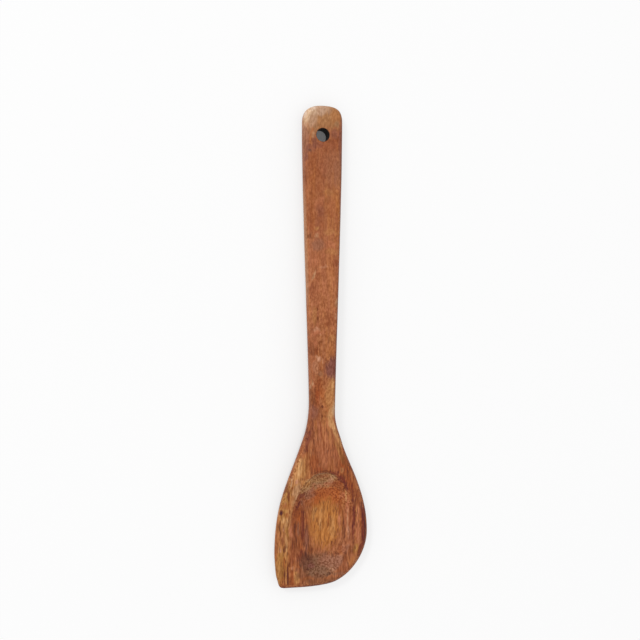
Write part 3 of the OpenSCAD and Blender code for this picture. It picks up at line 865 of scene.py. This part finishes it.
def fibreStreaksGroup():
    tree, ins, outs = newGroup("fibreStreaks", {"Vector": None, "Width": 1.0, "Length": 20.0,
                                                "Shift": 0.0, "Detail": 2.0}, "Streaks")
    size = addNode(tree, "ShaderNodeCombineXYZ", {"X": ins.outputs["Width"],
                                                  "Y": ins.outputs["Length"],
                                                  "Z": ins.outputs["Width"]})
    v = vectorCalc(tree, "DIVIDE", ins.outputs["Vector"], size.outputs[0])
    shift = addNode(tree, "ShaderNodeCombineXYZ", {"X": ins.outputs["Shift"]})
    v = vectorCalc(tree, "ADD", v, shift.outputs[0])
    tree.links.new(noise(tree, v, ins.outputs["Detail"], 0.55), outs.inputs["Streaks"])
    return tree


def softMarkGroup():
    tree, ins, outs = newGroup("softMark", {"Place": None, "Centre": None, "Size": None,
                                            "Turn": 0.0, "Ragged": 0.0, "Soft": usualSoftness,
                                            "Strength": 1.0}, "Mask")
    turned = addNode(tree, "ShaderNodeVectorRotate",
                     {"Vector": ins.outputs["Place"], "Center": ins.outputs["Centre"],
                      "Angle": ins.outputs["Turn"]}, rotation_type="Z_AXIS")
    v = vectorCalc(tree, "SUBTRACT", turned.outputs[0], ins.outputs["Centre"])
    v = vectorCalc(tree, "DIVIDE", v, ins.outputs["Size"])
    far = calc(tree, "ADD", vectorCalc(tree, "LENGTH", v), ins.outputs["Ragged"])
    mask = spread(tree, far, calc(tree, "SUBTRACT", 1.0, ins.outputs["Soft"]),
                  calc(tree, "ADD", 1.0, ins.outputs["Soft"]), ins.outputs["Strength"], 0.0,
                  smooth=True)
    tree.links.new(mask, outs.inputs["Mask"])
    return tree


grainBend, fibreStreaks, softMark = grainBendGroup(), fibreStreaksGroup(), softMarkGroup()


# a nudge far too small to see makes the next marks wait for the colour so far, because the
# render engine cannot hold the masks of all the marks at once
def paintMarks(tree, colour, marks, place, ragged, atOnce=30):
    for k, (name, x, y, halfWidth, halfLength, strength, *more) in enumerate(marks):
        if k % atOnce == 0:
            place = vectorCalc(tree, "MULTIPLY_ADD", colour, (1e-7, 1e-7, 1e-7), place)
        turn, soft = more + [0, usualSoftness][len(more):]
        m = useGroup(tree, softMark, Place=place, Centre=(x, y, 0), Turn=radians(-turn),
                     Size=(halfWidth, halfLength, anyDepth), Ragged=ragged, Strength=strength,
                     Soft=soft)
        colour = mixColour(tree, m.outputs["Mask"], colour, linear(*woodColours[name]))
    return colour


def woodMaterial(v):
    material = bpy.data.materials.new("spoonWood")
    material.use_nodes = True
    tree = material.node_tree
    shader = tree.nodes["Principled BSDF"]

    def attribute(name):
        return addNode(tree, "ShaderNodeAttribute", attribute_name=name).outputs["Fac"]

    def streaks(name):
        sizes = dict(zip(("Width", "Length", "Shift", "Detail"), fibreSizes[name]))
        return useGroup(tree, fibreStreaks, Vector=bent, **sizes).outputs["Streaks"]

    def speckles(name, output="Fac"):
        size, detail, rough = speckleSizes[name]
        n = noise(tree, vectorCalc(tree, "DIVIDE", place, size), detail, rough)
        return n.node.outputs[output]

    def around(value, amount):
        return calc(tree, "MULTIPLY", calc(tree, "SUBTRACT", value, 0.5), amount)

    def crisp(value, amount):
        return around(spread(tree, value, 0.36, 0.64, smooth=True), amount)

    def times(a, b):
        return calc(tree, "MULTIPLY", a, b)

    def total(*values):
        result = values[0]
        for value in values[1:]:
            result = calc(tree, "ADD", result, value)
        return result

    def stain(mask, colour, under):
        return mixColour(tree, mask, under, linear(*woodColours[colour]))

    coords = addNode(tree, "ShaderNodeTexCoord").outputs["Object"]
    place = vectorCalc(tree, "SCALE", coords)
    place.node.inputs["Scale"].default_value = 1 / mm
    along = addNode(tree, "ShaderNodeSeparateXYZ", {"Vector": place}).outputs["Y"]
    bent = useGroup(tree, grainBend, Vector=place).outputs["Vector"]
    wide, middle, fine, hair = (streaks(name) for name in ("wide", "middle", "fine", "hair"))
    flecks, blotches, dots = (speckles(name) for name in ("flecks", "blotches", "dots"))
    ragged = total(around(middle, 0.5), around(fine, 0.5), around(flecks, 0.6))
    # places for the marks, pushed about so that no mark is a plain oval
    push = vectorCalc(tree, "SUBTRACT", speckles("push", "Color"), (0.5, 0.5, 0.5))
    push = vectorCalc(tree, "MULTIPLY", push, (*v["warp"], 0.0))
    pushed = vectorCalc(tree, "ADD", place, push)

    # growth layers, cut by the surface
    layer = vectorCalc(tree, "DOT_PRODUCT", bent, v["layerTilt"])
    layerNoise = addNode(tree, "ShaderNodeTexNoise", {"W": layer, "Scale": 0.9, "Detail": 2.0},
                         noise_dimensions="1D").outputs["Fac"]
    tone = total(around(layerNoise, 0.9), around(wide, 0.8), 0.52)
    ramp = addNode(tree, "ShaderNodeValToRGB", {"Fac": tone})
    stops = ramp.color_ramp.elements
    while len(stops) < len(v["layers"]):
        stops.new(0.5)
    for stop, (position, name) in zip(stops, v["layers"]):
        stop.position = position
        stop.color = linear(*woodColours[name])
    base = ramp.outputs["Color"]

    # the top, with its marks, the hollow apart from the rest
    onHandle = spread(tree, along, *stretches["neck"], smooth=True)
    plain = mixColour(tree, v["plainShare"], base, linear(*v["plain"]))
    lighter = spread(tree, blotches, 0.52, 0.66, 0.0, v["blotches"], smooth=True)
    darker = spread(tree, blotches, 0.34, 0.47, v["blotches"], 0.0, smooth=True)
    plain = stain(darker, "rust", stain(lighter, "salmon", plain))
    handle = paintMarks(tree, plain, handleMarks, pushed, ragged)
    outside = paintMarks(tree, handle, bladeMarks, pushed, ragged)
    inside = paintMarks(tree, plain, hollowMarks, pushed, ragged)
    share = attribute("hollow")
    wobble = calc(tree, "ADD", share, around(flecks, 0.03))
    top = mixColour(tree, spread(tree, wobble, 0.96, 1.01, 1.0, 0.0, smooth=True), outside, inside)
    top = paintMarks(tree, top, rimMarks, pushed, ragged)
    top = paintMarks(tree, top, rimLines, place, times(ragged, v["lineRagged"]))
    upper = calc(tree, "ADD", attribute("upper"), around(middle, 0.5))
    colour = mixColour(tree, spread(tree, upper, 0.35, 0.75, smooth=True), base, top)
    # the sides, with painted light: lighter on the left of the handle as a painted highlight, darker
    # on the right and at the front as painted shade
    offHollow = spread(tree, share, 1.0, 1.05)
    sideways, lengthways = attribute("sideways"), attribute("endGrain")
    left = times(spread(tree, sideways, -0.75, -1.0, 0.0, 0.5),
                 spread(tree, along, *stretches["leftFrom"]))
    left = times(left, spread(tree, along, *stretches["leftTo"], 1.0, 0.15))
    colour = stain(left, "tan", colour)
    right = spread(tree, sideways, 0.4, 0.9, 0.0, 0.5)
    colour = stain(times(right, offHollow), "maroon", colour)
    front = spread(tree, lengthways, -0.4, -0.8, 0.0, 0.7)
    colour = stain(times(front, offHollow), "maroon", colour)

    # fine grain over all of it: streaks along the spoon, dots where the fibres are cut across
    ends = spread(tree, calc(tree, "ABSOLUTE", lengthways), 0.09, 0.22, smooth=True)
    ends = times(ends, spread(tree, attribute("upper"), 0.6, 0.95, 0.3, 1.0))
    flat = calc(tree, "SUBTRACT", 1.0, ends)
    onHead = calc(tree, "SUBTRACT", 1.0, onHandle)
    streaky = times(flat, calc(tree, "MULTIPLY_ADD", onHandle, -0.75, 1.0))
    fleckShare = times(spread(tree, along, *stretches["fleckFall"], 1.25, 0.8),
                       spread(tree, onHandle, 0.0, 1.0, 0.2, 1.0))
    grain = total(times(crisp(middle, v["middle"]), streaky),
                  times(crisp(fine, v["fine"]), streaky),
                  crisp(hair, v["hair"]),
                  times(crisp(flecks, v["flecks"]), fleckShare),
                  times(crisp(dots, v["dots"]), times(ends, onHead)), 1.0)
    parts = [calc(tree, "POWER", grain, power) for power in v["tint"]]
    grainTint = addNode(tree, "ShaderNodeCombineXYZ", dict(zip("XYZ", parts))).outputs[0]
    colour = vectorCalc(tree, "MULTIPLY", colour, grainTint)
    # the named colours hold the sky's faint reflection, which the surface adds, so it comes off
    colour = vectorCalc(tree, "SUBTRACT", colour, (v["haze"],) * 3)
    colour = vectorCalc(tree, "MAXIMUM", colour, v["darkest"])
    dashes = spread(tree, streaks("dashes"), 0.58, 0.68)
    dashes = times(dashes, calc(tree, "MULTIPLY_ADD", onHandle, -0.7, 1.0))
    pores = calc(tree, "MAXIMUM", times(dashes, flat),
                 times(spread(tree, dots, 0.58, 0.7, 0.0, 0.6), times(ends, onHead)))
    colour = mixColour(tree, times(pores, v["pores"]), colour, linear(*v["poreColour"]))
    # painted shadow: a near-black line along the top of the hollow's rim, towards the neck
    rim = calc(tree, "ABSOLUTE", calc(tree, "SUBTRACT", share, 0.985))
    rim = times(spread(tree, rim, 0.0, 0.025, v["rimLine"], 0.0),
                spread(tree, along, *stretches["rimLine"]))
    colour = stain(rim, "nearBlack", colour)
    # painted shade: the hole's wall is made near black
    colour = mixColour(tree, attribute("bore"), colour, v["boreShade"])
    tree.links.new(colour, shader.inputs["Base Color"])
    low, high = v["roughness"]
    tree.links.new(spread(tree, total(fine, times(pores, 0.3)), 0.3, 0.8, low, high),
                   shader.inputs["Roughness"])
    height = calc(tree, "SUBTRACT", hair, times(pores, 0.8))
    bump = addNode(tree, "ShaderNodeBump", {"Height": height, "Strength": 1.0,
                                            "Distance": v["bump"]})
    tree.links.new(bump.outputs["Normal"], shader.inputs["Normal"])
    shader.inputs["Specular IOR Level"].default_value = v["specular"]
    return material


spoonWood = woodMaterial(woodFinish)

print("hand finish")
handFinish = {"Waviness": 0.00006, "Wave length": 0.018, "Fine waviness": 0.000012,
              "Fine length": 0.003, "Seed": 7, "Wood": spoonWood}


# moves the surface a little along its normals, except where the spoon rests
def handFinishTree():
    tree = bpy.data.node_groups.new("handFinish", "GeometryNodeTree")
    face = tree.interface
    face.new_socket(name="Geometry", in_out="INPUT", socket_type="NodeSocketGeometry")
    for name in ("Waviness", "Wave length", "Fine waviness", "Fine length"):
        face.new_socket(name=name, in_out="INPUT", socket_type="NodeSocketFloat")
    face.new_socket(name="Seed", in_out="INPUT", socket_type="NodeSocketInt")
    face.new_socket(name="Wood", in_out="INPUT", socket_type="NodeSocketMaterial")
    face.new_socket(name="Geometry", in_out="OUTPUT", socket_type="NodeSocketGeometry")
    ins, outs = tree.nodes.new("NodeGroupInput"), tree.nodes.new("NodeGroupOutput")
    position = addNode(tree, "GeometryNodeInputPosition").outputs[0]

    def wave(length, amount):
        n = addNode(tree, "ShaderNodeTexNoise", {"Vector": position, "W": ins.outputs["Seed"],
                                                 "Detail": 1.0}, noise_dimensions="4D")
        feed(tree, n.inputs["Scale"], calc(tree, "DIVIDE", 1.0, ins.outputs[length]))
        return calc(tree, "MULTIPLY", calc(tree, "SUBTRACT", n.outputs["Fac"], 0.5),
                    ins.outputs[amount])

    waves = calc(tree, "ADD", wave("Wave length", "Waviness"), wave("Fine length", "Fine waviness"))
    height = addNode(tree, "ShaderNodeSeparateXYZ", {"Vector": position}).outputs["Z"]
    waves = calc(tree, "MULTIPLY", waves, spread(tree, height, 0.0003, 0.0012, 0.0, 2.0))
    normal = addNode(tree, "GeometryNodeInputNormal").outputs[0]
    offset = addNode(tree, "ShaderNodeVectorMath", {0: normal, "Scale": waves}, operation="SCALE")
    moved = addNode(tree, "GeometryNodeSetPosition", {"Geometry": ins.outputs["Geometry"],
                                                      "Offset": offset.outputs[0]})
    smooth = addNode(tree, "GeometryNodeSetShadeSmooth", {"Geometry": moved.outputs[0]})
    real = addNode(tree, "GeometryNodeRealizeInstances", {"Geometry": smooth.outputs[0]})
    finish = addNode(tree, "GeometryNodeSetMaterial", {"Geometry": real.outputs[0],
                                                       "Material": ins.outputs["Wood"]})
    tree.links.new(finish.outputs[0], outs.inputs[0])
    return tree


def finishByHand(mesh, v):
    rough = bpy.data.objects.new("roughSpoon", mesh)
    bpy.context.collection.objects.link(rough)
    modifier = rough.modifiers.new("handFinish", "NODES")
    modifier.node_group = handFinishTree()
    for item in modifier.node_group.interface.items_tree:
        if item.in_out == "INPUT" and item.name in v:
            modifier[item.identifier] = v[item.name]
    graph = bpy.context.evaluated_depsgraph_get()
    finished = bpy.data.meshes.new_from_object(rough.evaluated_get(graph))
    bpy.data.objects.remove(rough)
    finished.name = "spoonBody"
    return finished


spoon = bpy.data.objects.new("spoonBody", finishByHand(spoonMesh, handFinish))
bpy.context.collection.objects.link(spoon)

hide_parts("spoon")
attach(spoon, "root")
